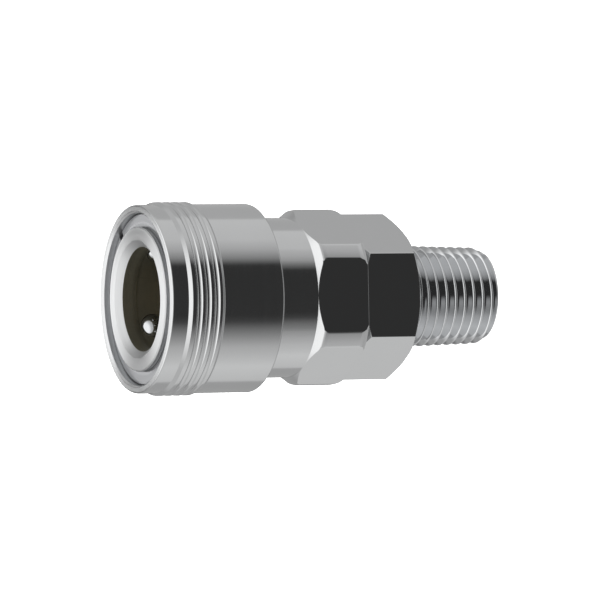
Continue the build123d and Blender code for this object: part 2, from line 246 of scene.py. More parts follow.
def rounded(corners):
    """The outline's points, with each corner rounded as it asks."""
    points = []
    for index, corner in enumerate(corners):
        last = corners[index - 1][:2]
        after = corners[(index + 1) % len(corners)][:2]
        points += corner_points(corner[:2], last, after, *corner[2:])
    return points


def even_columns(count):
    """Columns of a plain turned piece: angle about the axis, and no hexagon."""
    return [(math.tau * index / count, 0.0) for index in range(count)]


def soft_least(first, second, blend):
    """The lesser of two lengths, eased over a short blend."""
    near = max(blend - abs(first - second), 0.0) / blend
    return min(first, second) - near * near * blend / 4


def hexagon_columns(flats, corners, turn, blend):
    """Columns of a hexagonal piece: angle about the axis, and how far out the hexagon is there."""
    apothem = flats / 2
    reach = min(corners / 2, 2 * apothem / math.sqrt(3))
    half_side = math.pi / FLATS
    break_angle = min(math.acos(apothem / reach), half_side)
    offsets = {half_side * (2 * step / FLAT_COLUMNS - 1) for step in range(FLAT_COLUMNS)}
    for extra in BREAK_ANGLES:
        for side in (-1, 1):
            offset = side * break_angle + math.radians(extra)
            if -half_side < offset < half_side:
                offsets.add(offset)
    columns = []
    for side in range(FLATS):
        for offset in sorted(offsets):
            flat = apothem / math.cos(offset)
            next_flat = apothem / math.cos(2 * half_side - abs(offset))
            radius = soft_least(soft_least(flat, next_flat, blend), corners / 2, blend)
            columns.append((turn - math.pi / 2 + 2 * half_side * side + offset, radius))
    return columns


def turned_mesh(name, columns, outline_of, is_open=False):
    """A closed mesh of an outline carried round the axis. outline_of gives the outline at a column."""
    mesh = bmesh.new()
    rings = []
    for turn, reach in columns:
        cos, sin = math.cos(turn), math.sin(turn)
        row = rounded(outline_of(reach))
        rings.append([mesh.verts.new((radius * cos, radius * sin, height)) for radius, height in row])
    count = len(rings[0])
    for index in range(len(rings) - is_open):
        here, there = rings[index], rings[(index + 1) % len(rings)]
        for step in range(count):
            after = (step + 1) % count
            mesh.faces.new((here[step], there[step], there[after], here[after]))
    if is_open:
        mesh.faces.new(rings[0])
        mesh.faces.new(list(reversed(rings[-1])))
    clean(mesh)
    return place_object(name, plain_mesh(name, mesh))


def turned_piece(name, outline, count=SMALL_COLUMNS):
    """A closed mesh of one outline turned about the axis."""
    return turned_mesh(name, even_columns(count), lambda reach: outline)


def clean(mesh):
    """Merges doubles, drops faces without area and turns the faces outwards."""
    bmesh.ops.remove_doubles(mesh, verts=mesh.verts, dist=MERGE_DISTANCE)
    bmesh.ops.dissolve_degenerate(mesh, edges=mesh.edges, dist=MERGE_DISTANCE)
    bmesh.ops.recalc_face_normals(mesh, faces=mesh.faces)


def plain_mesh(name, mesh):
    """Mesh data from an edit mesh, which is used up."""
    data = bpy.data.meshes.new(name)
    mesh.to_mesh(data)
    mesh.free()
    return data


def place_object(name, data):
    """A new object in the scene."""
    piece = bpy.data.objects.new(name, data)
    bpy.context.scene.collection.objects.link(piece)
    return piece


def apply_modifiers(piece):
    """Turns the piece and its modifiers into a plain mesh."""
    bpy.context.view_layer.update()
    graph = bpy.context.evaluated_depsgraph_get()
    mesh = bpy.data.meshes.new_from_object(
        piece.evaluated_get(graph), preserve_all_data_layers=True, depsgraph=graph
    )
    mesh.name = piece.name
    piece.modifiers.clear()
    piece.data = mesh


def combine(piece, tool, operation):
    """Cuts the piece with a tool, adds it, or keeps what they share. The tool is used up."""
    modifier = piece.modifiers.new(operation.lower(), "BOOLEAN")
    modifier.operation = operation
    modifier.object = tool
    modifier.solver = "MANIFOLD"
    apply_modifiers(piece)
    bpy.data.objects.remove(tool)
    if not piece.data.polygons:
        raise RuntimeError(f"{piece.name}: nothing is left after {operation.lower()}")


def join(name, pieces):
    """One mesh object from several."""
    mesh = bmesh.new()
    for piece in pieces:
        mesh.from_mesh(piece.data)
        bpy.data.objects.remove(piece)
    return place_object(name, plain_mesh(name, mesh))


def shade(piece):
    """Smooth shading that keeps sharp edges sharp and large faces flat."""
    piece.data.polygons.foreach_set("use_smooth", [True] * len(piece.data.polygons))
    piece.data.set_sharp_from_angle(angle=SHARP_ANGLE)
    weighted = piece.modifiers.new("weighted normals", "WEIGHTED_NORMAL")
    weighted.mode = "FACE_AREA"
    weighted.weight = NORMAL_WEIGHT
    weighted.keep_sharp = True
    apply_modifiers(piece)


def paint(piece, index, wanted):
    """Gives the wanted faces the material at that index. The test gets a face and its radius."""
    for face in piece.data.polygons:
        if wanted(face, math.hypot(face.center.x, face.center.y)):
            face.material_index = index


def finish_flats(piece, low, high, turn, index):
    """Gives the milled flats of a hexagon the material at that index."""
    for face in piece.data.polygons:
        if not low < face.center.z < high or abs(face.normal.z) > UPRIGHT_TOLERANCE:
            continue
        around = math.atan2(face.normal.y, face.normal.x) - turn + math.pi / 2
        side = around / (math.tau / FLATS)
        outwards = face.normal.x * face.center.x + face.normal.y * face.center.y > 0
        if outwards and abs(side - round(side)) * math.tau / FLATS < FLAT_NORMAL_TOLERANCE:
            face.material_index = index


def dress(piece, body, slot, nodes, *finishes):
    """Gives a finished piece its finishes and its body, and hides the solids that it stands for. The slot is
    not used.
    """
    painted = [face.material_index for face in piece.data.polygons]
    piece.data.materials.clear()
    for name in finishes:
        piece.data.materials.append(finish(name))
    piece.data.polygons.foreach_set("material_index", painted)
    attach(piece, body)
    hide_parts(*nodes)


# Node trees


class Output:
    """An output of a node. Sums, differences and products of outputs add nodes to the tree."""

    def __init__(self, tree, socket):
        self.tree = tree
        self.socket = socket

    def __add__(self, other):
        return self.tree.math("ADD", self, other)

    def __sub__(self, other):
        return self.tree.math("SUBTRACT", self, other)

    def __mul__(self, other):
        return self.tree.math("MULTIPLY", self, other)


class Tree:
    """Adds nodes to a node tree and joins them."""

    def __init__(self, tree):
        self.tree = tree

    def feed(self, node, inputs):
        """Sets inputs of a node by name, each to an output of another node or to a plain value."""
        for key, value in inputs.items():
            if isinstance(value, Output):
                self.tree.links.new(value.socket, node.inputs[key])
            else:
                node.inputs[key].default_value = value

    def node(self, kind, inputs=None, **settings):
        node = self.tree.nodes.new(kind)
        for key, value in settings.items():
            setattr(node, key, value)
        self.feed(node, inputs or {})
        return node

    def add(self, kind, inputs=None, output=0, **settings):
        """Adds a node and gives one of its outputs."""
        return Output(self, self.node(kind, inputs, **settings).outputs[output])

    def math(self, operation, *values):
        return self.add("ShaderNodeMath", dict(enumerate(values)), operation=operation)

    def split(self, vector):
        """The three parts of a vector."""
        return [Output(self, part) for part in self.node("ShaderNodeSeparateXYZ", {0: vector}).outputs]

    def vector(self, x, y, z):
        return self.add("ShaderNodeCombineXYZ", {"X": x, "Y": y, "Z": z})

    def round_axis(self, radius, turn, height):
        """The place at a radius, a turn about the axis and a height."""
        return self.vector(radius * self.math("COSINE", turn), radius * self.math("SINE", turn), height)

    def spread(self, value, start, end, low=0.0, high=1.0, **settings):
        """The value carried over from one range to another."""
        inputs = {"Value": value, "From Min": low, "From Max": high, "To Min": start, "To Max": end}
        return self.add("ShaderNodeMapRange", inputs, "Result", **settings)

    def smooth(self, value, low, high, start=0.0, end=1.0):
        return self.spread(value, start, end, low, high, interpolation_type="SMOOTHSTEP")

    def mix(self, share, first, second):
        """The first value where the share is 0, the second where it is 1."""
        return self.math("ADD", first, share * self.math("SUBTRACT", second, first))

    def noise(self, scale, detail, place=None):
        """Noise in space, or at the given place."""
        place = place or self.add("ShaderNodeTexCoord", output="Object")
        return self.add("ShaderNodeTexNoise", {"Vector": place, "Scale": scale, "Detail": detail}, "Fac")

    def rings(self, density, round_scale, detail):
        """Noise in fine rings round the axis, on faces, cones and cylinders alike."""
        x, y, z = self.split(self.add("ShaderNodeTexCoord", output="Object"))
        along = (z + self.math("SQRT", x * x + y * y)) * density
        return self.noise(1.0, detail, self.vector(along, x * round_scale, y * round_scale))

    def mottled(self, colour, scale, amount):
        """A colour with a faint, slow change in lightness."""
        dark = [part * (1 - amount) for part in colour]
        light = [min(part * (1 + amount), 1.0) for part in colour]
        ends = {"Factor": self.noise(scale, MOTTLE_DETAIL), "A": (*dark, 1.0), "B": (*light, 1.0)}
        return self.add("ShaderNodeMix", ends, "Result", data_type="RGBA")

    def bump(self, height, strength, depth, over=None):
        """A bumped normal, laid over another one if that is given."""
        inputs = {"Height": height, "Strength": strength, "Distance": depth}
        return self.add("ShaderNodeBump", inputs | ({"Normal": over} if over else {}))


# Materials

# Noise of the finishes. Rings round the axis: lines for each metre along it, scale across it and
# detail. Other noise: scale and detail. Depths of the marks are in metres.
FINE_RINGS = (9000.0, 90.0, 2.0)
FINE_DEPTH = 9e-7
BROAD_RINGS = (1700.0, 40.0, 3.0)
BROAD_DEPTH = 4e-6
DIE_RINGS = (14000.0, 200.0, 3.0)
DIE_DEPTH = 1.5e-6
DIE_STRENGTH = 0.4
WAVE = (260.0, 2.0)
WAVE_DEPTH = 1.2e-5
WAVE_STRENGTH = 0.25
LINES = (5200.0, 3.0)
LINES_DEPTH = 6e-7
LINES_STRENGTH = 0.2
LINES_STRETCH = (1.0, 1.0, 0.12)
GRAIN = (9000.0, 4.0)
GRAIN_DEPTH = 8e-6
GRAIN_STRENGTH = 0.5
BLOOM = (350.0, 3.0)
WIRE_PATCHES = (420.0, 2.0)
HAZE = (900.0, 4.0)
HAZE_DEPTH = 1e-6
HAZE_STRENGTH = 0.15
FLOOR_GRAIN = (30.0, 3.0)

# Mottling of the colours: scale and amount
MOTTLE_DETAIL = 3.0
TURNED_MOTTLE = 140.0
FLAT_MOTTLE = (120.0, 0.02)
RUBBER_MOTTLE = (500.0, 0.35)
WIRE_MOTTLE = (300.0, 0.12)
BALL_MOTTLE = (600.0, 0.03)
FLOOR_MOTTLE = (12.0, 0.02)

# Least and greatest roughness. For turned and flat metal they are shares of the finish's own.
TURNED_ROUGHNESS = (0.7, 1.3)
FLAT_ROUGHNESS = (0.75, 1.3)
RUBBER_ROUGHNESS = (0.42, 0.68)
WIRE_ROUGHNESS = (0.2, 0.36)
BALL_ROUGHNESS = (0.08, 0.16)
FLOOR_ROUGHNESS = (0.7, 0.8)

WHITE = (1.0, 1.0, 1.0, 1.0)
FLOOR_COLOUR = (0.9, 0.9, 0.9)
FLOOR_GLOW = 0.75


def new_material(name):
    """A material with a plain principled shader, and its tree."""
    material = bpy.data.materials.new(name)
    material.use_nodes = True
    return material, Tree(material.node_tree), material.node_tree.nodes["Principled BSDF"]


def turned_metal(name, colour, roughness, marks, anisotropy=0.6, mottle=0.03):
    """Plated or bare metal that was turned: fine rings, and reflections drawn out across them."""
    material, tree, shader = new_material(name)
    broad = tree.rings(*BROAD_RINGS)
    low = tree.bump(broad, marks, BROAD_DEPTH)
    tree.feed(shader, {
        "Metallic": 1.0,
        "Anisotropic": anisotropy,
        "Anisotropic Rotation": QUARTER_TURN,
        "Base Color": tree.mottled(colour, TURNED_MOTTLE, mottle),
        "Roughness": tree.spread(broad, *(roughness * part for part in TURNED_ROUGHNESS)),
        "Normal": tree.bump(tree.rings(*FINE_RINGS), marks, FINE_DEPTH, low),
        "Tangent": tree.add("ShaderNodeTangent", direction_type="RADIAL", axis="Z"),
    })
    return material


def flat_chrome(name, colour, roughness, marks=1.0):
    """Chrome plate on drawn bar: smooth, with a faint long wave and a few wiped marks."""
    material, tree, shader = new_material(name)
    place = tree.add("ShaderNodeTexCoord", output="Object")
    drawn = tree.add("ShaderNodeMapping", {"Vector": place, "Scale": LINES_STRETCH})
    wave = tree.noise(*WAVE)
    slow = tree.bump(wave, WAVE_STRENGTH * marks, WAVE_DEPTH)
    tree.feed(shader, {
        "Metallic": 1.0,
        "Base Color": tree.mottled(colour, *FLAT_MOTTLE),
        "Roughness": tree.spread(wave, *(roughness * part for part in FLAT_ROUGHNESS)),
        "Normal": tree.bump(tree.noise(*LINES, drawn), LINES_STRENGTH * marks, LINES_DEPTH, slow),
    })
    return material


def moulded_rubber(name, colour):
    """Moulded rubber: nearly black, with a fine matt grain and a little bloom."""
    material, tree, shader = new_material(name)
    tree.feed(shader, {
        "Base Color": tree.mottled(colour, *RUBBER_MOTTLE),
        "Roughness": tree.spread(tree.noise(*BLOOM), *RUBBER_ROUGHNESS),
        "Normal": tree.bump(tree.noise(*GRAIN), GRAIN_STRENGTH, GRAIN_DEPTH),
    })
    return material


def drawn_wire(name, colour):
    """Drawn spring wire: bright, with die marks and slightly darker patches."""
    material, tree, shader = new_material(name)
    tree.feed(shader, {
        "Metallic": 1.0,
        "Base Color": tree.mottled(colour, *WIRE_MOTTLE),
        "Roughness": tree.spread(tree.noise(*WIRE_PATCHES), *WIRE_ROUGHNESS),
        "Normal": tree.bump(tree.rings(*DIE_RINGS), DIE_STRENGTH, DIE_DEPTH),
    })
    return material


def polished_steel(name, colour):
    """Lapped ball steel: a mirror with faint haze."""
    material, tree, shader = new_material(name)
    haze = tree.noise(*HAZE)
    tree.feed(shader, {
        "Metallic": 1.0,
        "Base Color": tree.mottled(colour, *BALL_MOTTLE),
        "Roughness": tree.spread(haze, *BALL_ROUGHNESS),
        "Normal": tree.bump(haze, HAZE_STRENGTH, HAZE_DEPTH),
    })
    return material


def floor_material():
    """Pale, evenly lit floor with a very faint texture."""
    material, tree, shader = new_material("pale_floor")
    tree.feed(shader, {
        "Base Color": tree.mottled(FLOOR_COLOUR, *FLOOR_MOTTLE),
        "Roughness": tree.spread(tree.noise(*FLOOR_GRAIN), *FLOOR_ROUGHNESS),
        "Emission Color": WHITE,
        "Emission Strength": FLOOR_GLOW,
    })
    return material


def finish(name):
    """A finish by name, made once."""
    if name in bpy.data.materials and bpy.data.materials[name].get("coupling_finish"):
        return bpy.data.materials[name]
    tints = bpy.context.scene.coupling_finishes
    turned = {"marks": tints.streaks}
    make, colour, settings = {
        "turned_chrome": (turned_metal, tints.chrome, turned | {"roughness": tints.chrome_roughness}),
        "faced_chrome": (turned_metal, tints.chrome, turned | {"roughness": 0.38, "anisotropy": 0.93}),
        # Satin plate inside the rim: its own rougher finish, with a raised colour that paints light there
        "satin_chrome": (
            turned_metal, tints.satin_chrome, {"roughness": 0.32, "marks": 0.4, "anisotropy": 0.3}
        ),
        "thread_chrome": (flat_chrome, tints.thread_chrome, {"roughness": 0.05, "marks": 0.15}),
        "flat_chrome": (flat_chrome, tints.chrome, {"roughness": 0.06}),
        # Dark brownish bore finish: painted shade deep in the bore and a painted reflection of the brass
        # valve
        "bare_bore": (
            turned_metal, tints.bore, {"roughness": 0.62, "marks": 0.3, "anisotropy": 0.0, "mottle": 0.1}
        ),
        "turned_brass": (
            turned_metal, tints.brass, {"roughness": 0.24, "marks": 0.5, "anisotropy": 0.5, "mottle": 0.08}
        ),
        "snap_ring_steel": (
            turned_metal, tints.ring, {"roughness": 0.3, "marks": 0.3, "anisotropy": 0.5, "mottle": 0.08}
        ),
        "packing_rubber_finish": (moulded_rubber, tints.rubber, {}),
        "spring_wire_finish": (drawn_wire, tints.steel, {}),
        "ball_finish": (polished_steel, tints.balls, {}),
    }[name]
    material = make(name, colour, **settings)
    material["coupling_finish"] = True
    return material


# Sleeve

SLEEVE_STOP = RING_LOW.z - SEAT_GAP
SLEEVE_RELIEF_RADIUS = 10.87 * MM
SLEEVE_LAND_RADIUS = 9.94 * MM
BALL_HEIGHT = (BALL_LOW.z + BALL_HIGH.z) / 2
SLEEVE_LAND_TOP = BALL_HEIGHT + 0.1 * MM
SLEEVE_LAND_LOW = SLEEVE_SPRING_HIGH.z + SEAT_GAP
SLEEVE_RELIEF_LOW = SLEEVE_LAND_TOP + SLEEVE_RELIEF_RADIUS - SLEEVE_LAND_RADIUS
SLEEVE_CHAMBER_RADIUS = 11.0 * MM
SLEEVE_LIP_TOP = SLEEVE_LOW.z + 1.25 * MM
SLEEVE_LIP_RADIUS = 10.54 * MM
SLEEVE_LIP_BEVEL = 0.25 * MM
GROOVE_STEPS = 8
FACED_SLOPE = 0.5
FLAT_SLOPE = 0.97


def groove_arc(band, middle, sizes):
    """One round-bottomed groove across the grip band, from its rear edge to its front edge."""
    half, deep = sizes.groove_width / 2, sizes.groove_depth
    radius = (half**2 + deep**2) / (2 * deep)
    centre = band - deep + radius
    reach = math.asin(half / radius)
    corners = []
    for step in range(GROOVE_STEPS + 1):
        turn = reach * (2 * step / GROOVE_STEPS - 1)
        soft = sizes.edge_round if step in (0, GROOVE_STEPS) else 0.0
        corners.append((centre - radius * math.cos(turn), middle + radius * math.sin(turn), soft))
    return corners


def sleeve_outline(sizes):
    """Half section of the sleeve, up the outside to the rim and back down inside."""
    rear, rim, band = SLEEVE_LOW.z, SLEEVE_HIGH.z, SLEEVE_HIGH.x
    soft = sizes.edge_round
    collar = rim - sizes.collar_length
    band_top = collar - sizes.band_rise
    band_low = band_top - sizes.band_length
    bore = sizes.rim_bore
    grooves = reversed(range(sizes.groove_count))
    middles = [band_top - sizes.groove_first - index * sizes.groove_pitch for index in grooves]
    return [
        (sizes.plain_radius - sizes.rear_bevel, rear, soft),
        (sizes.plain_radius, rear + sizes.rear_bevel, 2 * soft),
        (sizes.plain_radius, band_low - sizes.band_fall, 3 * soft),
        (band, band_low, 2 * soft),
        *(corner for middle in middles for corner in groove_arc(band, middle, sizes)),
        (band, band_top, soft),
        (sizes.collar_radius, collar, soft),
        (sizes.collar_radius, rim, sizes.rim_round),
        (bore + sizes.rim_bevel, rim, soft),
        *wall(bore, rim - sizes.rim_bevel, SLEEVE_STOP, soft),
        *wall(SLEEVE_RELIEF_RADIUS, SLEEVE_STOP, SLEEVE_RELIEF_LOW, soft),
        (SLEEVE_LAND_RADIUS, SLEEVE_LAND_TOP, soft),
        (SLEEVE_LAND_RADIUS, SLEEVE_LAND_LOW),
        *wall(SLEEVE_CHAMBER_RADIUS, SLEEVE_LAND_LOW, SLEEVE_LIP_TOP),
        (SLEEVE_LIP_RADIUS, SLEEVE_LIP_TOP),
        (SLEEVE_LIP_RADIUS, rear + SLEEVE_LIP_BEVEL, soft),
        (SLEEVE_LIP_RADIUS + SLEEVE_LIP_BEVEL, rear, soft),
    ]


class COUPLING_OT_sleeve(bpy.types.Operator):
    """Make the sliding sleeve with its grip band"""

    bl_idname = "coupling.sleeve"
    bl_label = "Sliding sleeve"

    def execute(self, context):
        sizes = context.scene.coupling_sleeve
        sleeve = turned_piece("sliding_sleeve_shell", sleeve_outline(sizes), TURNED_COLUMNS)
        shade(sleeve)
        rim_low = SLEEVE_HIGH.z - sizes.rim_round
        paint(sleeve, 1, lambda face, radius: face.normal.z > FLAT_SLOPE and face.center.z > rim_low)
        # The wall inside the rim gets the lighter satin finish, which paints light there
        paint(sleeve, 2, lambda face, radius: radius < sizes.rim_bore and face.center.z > SLEEVE_STOP)
        dress(
            sleeve, "sliding_sleeve", "chrome_sleeve", ["sleeve"],
            "turned_chrome", "faced_chrome", "satin_chrome",
        )
        return {"FINISHED"}


# Body

BODY_JOINT = BODY_LOW.z
BODY_SPRING_SEAT = SLEEVE_SPRING_LOW.z - SEAT_GAP
BODY_NECK_BEVEL = 0.2 * MM
BODY_GROOVE_LOW = RING_LOW.z - SEAT_GAP
BODY_GROOVE_TOP = RING_HIGH.z + SEAT_GAP
BODY_GROOVE_RADIUS = 8.9 * MM
BALL_CENTRE_RADIUS = 7.82 * MM
BODY_MOUTH_LAND = BALL_HIGH.z + 0.2 * MM
BODY_CAGE_BORE = 7.0 * MM
BODY_FLANGE_RADIUS = 6.1 * MM
BODY_FLANGE_LOW = PACKING_HIGH.z + SEAT_GAP
BODY_FLANGE_TOP = BODY_FLANGE_LOW + 0.8 * MM
BODY_CHAMBER_RADIUS = 7.9 * MM
BODY_HOLDER_STEP = HOLDER_HIGH.z + SEAT_GAP
BODY_HOLDER_RADIUS = 8.2 * MM
BODY_THREAD_TOP = HOLDER_LOW.z
BODY_THREAD_RADIUS = 8.8 * MM
BODY_SHADED_BORE_RADIUS = 8.85 * MM
BODY_SEAL_TOP = BODY_JOINT + 1.15 * MM
BODY_SEAL_RADIUS = 9.5 * MM
EDGE_BREAK = 0.07 * MM
BALL_HOLE_GAP = 0.05 * MM
BALL_COUNT = 4
BALL_FIRST = math.radians(121)
BEVEL_STEPS = 12
DRILL_COLUMNS = 64
DRILL_STEPS = 16


def bevel_length(sizes, reach, face, run):
    """How far a bevel of the body's hexagon runs in from its end face, at a reach of the hexagon."""
    corner = sizes.hex_corners / 2
    polished = corner - sizes.polish_drop
    if reach <= polished:
        return max(0.0, reach - face) / (polished - face) * run
    return run + (reach - polished) / sizes.polish_drop * sizes.polish_length


def bevel_points(sizes, reach, face, run):
    """Radius and depth of the turned bevel from its end face outwards, ending where the hexagon reaches."""
    points = []
    for step in range(BEVEL_STEPS + 1):
        radius = min(reach, face + (sizes.hex_corners / 2 - face) * step / BEVEL_STEPS)
        points.append((radius, bevel_length(sizes, radius, face, run)))
    return points


def body_outline(sizes, reach):
    """Half section of the body where the hexagon reaches that far out."""
    soft = sizes.edge_round
    top = BODY_HIGH.z
    neck = BODY_JOINT + sizes.hex_length
    face = sizes.hex_corners / 2 - sizes.rear_drop
    nose = sizes.nose_radius
    rear = bevel_points(sizes, reach, face, sizes.rear_bevel)
    front = bevel_points(sizes, reach, sizes.hex_flats / 2, sizes.front_bevel)
    return [
        (BODY_SEAL_RADIUS, BODY_JOINT),
        (min(reach - EDGE_BREAK, face), BODY_JOINT),
        *((radius, BODY_JOINT + max(EDGE_BREAK, depth)) for radius, depth in rear),
        *((radius, neck - depth) for radius, depth in reversed(front)),
        (sizes.neck_radius, neck),
        (sizes.neck_radius, BODY_SPRING_SEAT - BODY_NECK_BEVEL, soft),
        (sizes.neck_radius - BODY_NECK_BEVEL, BODY_SPRING_SEAT, soft),
        (sizes.cage_radius, BODY_SPRING_SEAT),
        (sizes.cage_radius, BODY_GROOVE_LOW, soft),
        *wall(BODY_GROOVE_RADIUS, BODY_GROOVE_LOW, BODY_GROOVE_TOP, soft),
        *wall(nose, BODY_GROOVE_TOP, top - sizes.nose_bevel, soft),
        (nose - sizes.nose_bevel, top, soft),
        (sizes.funnel_radius, top, 2 * soft),
        (sizes.mouth_radius, top - sizes.funnel_depth, 2 * soft),
        (sizes.mouth_radius, BODY_MOUTH_LAND, soft),
        *wall(BODY_CAGE_BORE, BODY_MOUTH_LAND, BODY_FLANGE_TOP, soft),
        *wall(BODY_FLANGE_RADIUS, BODY_FLANGE_TOP, BODY_FLANGE_LOW, soft),
        *wall(BODY_CHAMBER_RADIUS, BODY_FLANGE_LOW, BODY_HOLDER_STEP),
        *wall(BODY_HOLDER_RADIUS, BODY_HOLDER_STEP, BODY_THREAD_TOP),
        *wall(BODY_THREAD_RADIUS, BODY_THREAD_TOP, BODY_SEAL_TOP),
        (BODY_SEAL_RADIUS, BODY_SEAL_TOP),
    ]


def ball_places():
    """Matrix of each ball: its own Z axis points outwards from the coupling's axis."""
    places = []
    for index in range(BALL_COUNT):
        turn = BALL_FIRST + math.tau * index / BALL_COUNT
        outwards = Matrix.Rotation(turn, 4, "Z") @ Matrix.Rotation(math.pi / 2, 4, "Y")
        centre = (BALL_CENTRE_RADIUS * math.cos(turn), BALL_CENTRE_RADIUS * math.sin(turn), BALL_HEIGHT)
        places.append(Matrix.Translation(centre) @ outwards)
    return places


def ball_drill(sizes):
    """Tool that cuts the four ball holes, each with a round bottom that leaves a lip."""
    hole = sizes.ball_radius + BALL_HOLE_GAP
    reach = sizes.cage_radius - BALL_CENTRE_RADIUS + BODY_NECK_BEVEL
    turns = [math.pi / 2 * step / DRILL_STEPS for step in range(1, DRILL_STEPS)]
    bottom = [(hole * math.sin(turn), -hole * math.cos(turn)) for turn in turns]
    outline = [(0.0, -hole), *bottom, *wall(hole, 0.0, reach), (0.0, reach)]
    drills = []
    for place in ball_places():
        drill = turned_piece("ball_drill", outline, DRILL_COLUMNS)
        drill.data.transform(place)
        drills.append(drill)
    return join("ball_drills", drills)


class COUPLING_OT_body(bpy.types.Operator):
    """Make the body: hexagon, neck, ball cage and nose"""

    bl_idname = "coupling.body"
    bl_label = "Body"

    def execute(self, context):
        sizes = context.scene.coupling_body
        columns = hexagon_columns(sizes.hex_flats, sizes.hex_corners, sizes.hex_turn, sizes.edge_round)
        body = turned_mesh("coupling_body_shell", columns, lambda reach: body_outline(sizes, reach))
        combine(body, ball_drill(sizes), "DIFFERENCE")
        shade(body)
        finish_flats(body, BODY_JOINT, BODY_JOINT + sizes.hex_length, sizes.hex_turn, 1)
        bore_top = BODY_HIGH.z - sizes.funnel_depth
        # Faces deep in the bore get the dark finish that paints the shade there
        paint(body, 2, lambda face, radius: radius < BODY_SHADED_BORE_RADIUS and face.center.z < bore_top)
        paint(body, 3, lambda face, radius: face.normal.z > FACED_SLOPE and face.center.z > bore_top)
        dress(
            body, "coupling_body", "chrome", ["body"],
            "turned_chrome", "flat_chrome", "bare_bore", "faced_chrome",
        )
        return {"FINISHED"}


# Adapter

SHOULDER_OVERLAP = 0.3 * MM
ADAPTER_BEVEL = math.tan(math.radians(30))
SPIGOT_UNDERCUT = 8.35 * MM
SPIGOT_RADIUS = 8.77 * MM
SPIGOT_BEVEL = 0.5 * MM
UNDERCUT_SLOPE = SPIGOT_BEVEL / 4
SPIGOT_SHOULDER = BODY_SEAL_TOP + SEAT_GAP
SPIGOT_BORE = 6.2 * MM
SPIGOT_STEP = ADAPTER_HIGH.z - 7.0 * MM
THREAD_COLUMNS = 144
THREAD_ROWS = 28
THREAD_TRIANGLE = 1.284 * MM
THREAD_MERGE = 20 * MERGE_DISTANCE
SPARE_TURNS = 2
TOOL_REACH = 1.0 * MM
CORNER_BLEND = 1.5


def node_group(name, counts, lengths):
    """An empty Geometry Nodes group with those inputs and a finish: its nodes, and the inputs by name."""
    group = bpy.data.node_groups.new(name, "GeometryNodeTree")
    kinds = dict.fromkeys(counts, "Int") | dict.fromkeys(lengths, "Float") | {"Finish": "Material"}
    for key, kind in kinds.items():
        group.interface.new_socket(name=key, in_out="INPUT", socket_type=f"NodeSocket{kind}")
    group.interface.new_socket(name="Geometry", in_out="OUTPUT", socket_type="NodeSocketGeometry")
    nodes = Tree(group)
    sockets = nodes.node("NodeGroupInput").outputs
    return nodes, {key: Output(nodes, sockets[key]) for key in kinds}


def end_group(nodes, geometry, material):
    """Ends a group with a plain mesh in the given finish."""
    realized = nodes.add("GeometryNodeRealizeInstances", {"Geometry": geometry})
    painted = nodes.add("GeometryNodeSetMaterial", {"Geometry": realized, "Material": material})
    nodes.node("NodeGroupOutput", {"Geometry": painted})
    return nodes.tree


def thread_tree():
    """Geometry Nodes that raise a tapered helical thread on a tube, row by row along the helix."""
    nodes, given = node_group(
        "tapered pipe thread",
        ["Columns", "Rows", "Turns"],
        ["Pitch", "Start Height", "Base Radius", "Taper", "Depth", "Triangle",
         "Crest Rounding", "Root Rounding", "Fade Start", "Fade End", "Start Angle"],
    )
    grid = nodes.add("GeometryNodeMeshGrid", {
        "Size X": 1.0,
        "Size Y": 1.0,
        "Vertices X": given["Columns"] + 1.0,
        "Vertices Y": given["Rows"] * given["Turns"] + 1.0,
    })
    across, along = nodes.split(nodes.add("GeometryNodeInputPosition"))[:2]
    turned = across + 0.5
    climbed = (along + 0.5) * given["Turns"]
    height = (climbed + turned) * given["Pitch"] + given["Start Height"]
    crest = given["Base Radius"] + height * (given["Taper"] * 0.5)
    wave = nodes.math("PINGPONG", climbed, 0.5) * 2.0
    peak = crest + (given["Triangle"] - given["Depth"]) * 0.5
    flank = peak - wave * given["Triangle"]
    eased = nodes.math("SMOOTH_MIN", flank, crest, given["Crest Rounding"])
    eased = nodes.math("SMOOTH_MAX", eased, crest - given["Depth"], given["Root Rounding"])
    fade = nodes.smooth(height, given["Fade Start"], given["Fade End"])
    turn = turned * math.tau + given["Start Angle"]
    moved = nodes.round_axis(nodes.mix(fade, eased, crest), turn, height)
    tube = nodes.add("GeometryNodeSetPosition", {"Geometry": grid, "Position": moved})
    merged = nodes.add("GeometryNodeMergeByDistance", {"Geometry": tube, "Distance": THREAD_MERGE})
    return end_group(nodes, merged, given["Finish"])


def run_tree(name, tree, values):
    """A plain mesh object from a tree and its named inputs."""
    piece = place_object(name, bpy.data.meshes.new(name))
    modifier = piece.modifiers.new("nodes", "NODES")
    modifier.node_group = tree
    for item in tree.interface.items_tree:
        if item.in_out == "INPUT":
            modifier[item.identifier] = values[item.name]
    apply_modifiers(piece)
    if not piece.data.polygons:
        raise RuntimeError(f"{name}: the node tree made nothing")
    return piece


def edit(piece, change):
    """Makes a change to the piece's mesh and turns its faces outwards."""
    mesh = bmesh.new()
    mesh.from_mesh(piece.data)
    change(mesh)
    bmesh.ops.recalc_face_normals(mesh, faces=mesh.faces)
    mesh.to_mesh(piece.data)
    mesh.free()


def close_ends(mesh, low, high):
    """Closes the open ends of a threaded tube with fans to points on the axis."""
    middle = (low + high) / 2
    tips = {False: mesh.verts.new((0, 0, low)), True: mesh.verts.new((0, 0, high))}
    for edge in [edge for edge in mesh.edges if edge.is_boundary]:
        first, second = edge.verts
        upper = (first.co.z + second.co.z) / 2 > middle
        mesh.faces.new((first, second, tips[upper]))


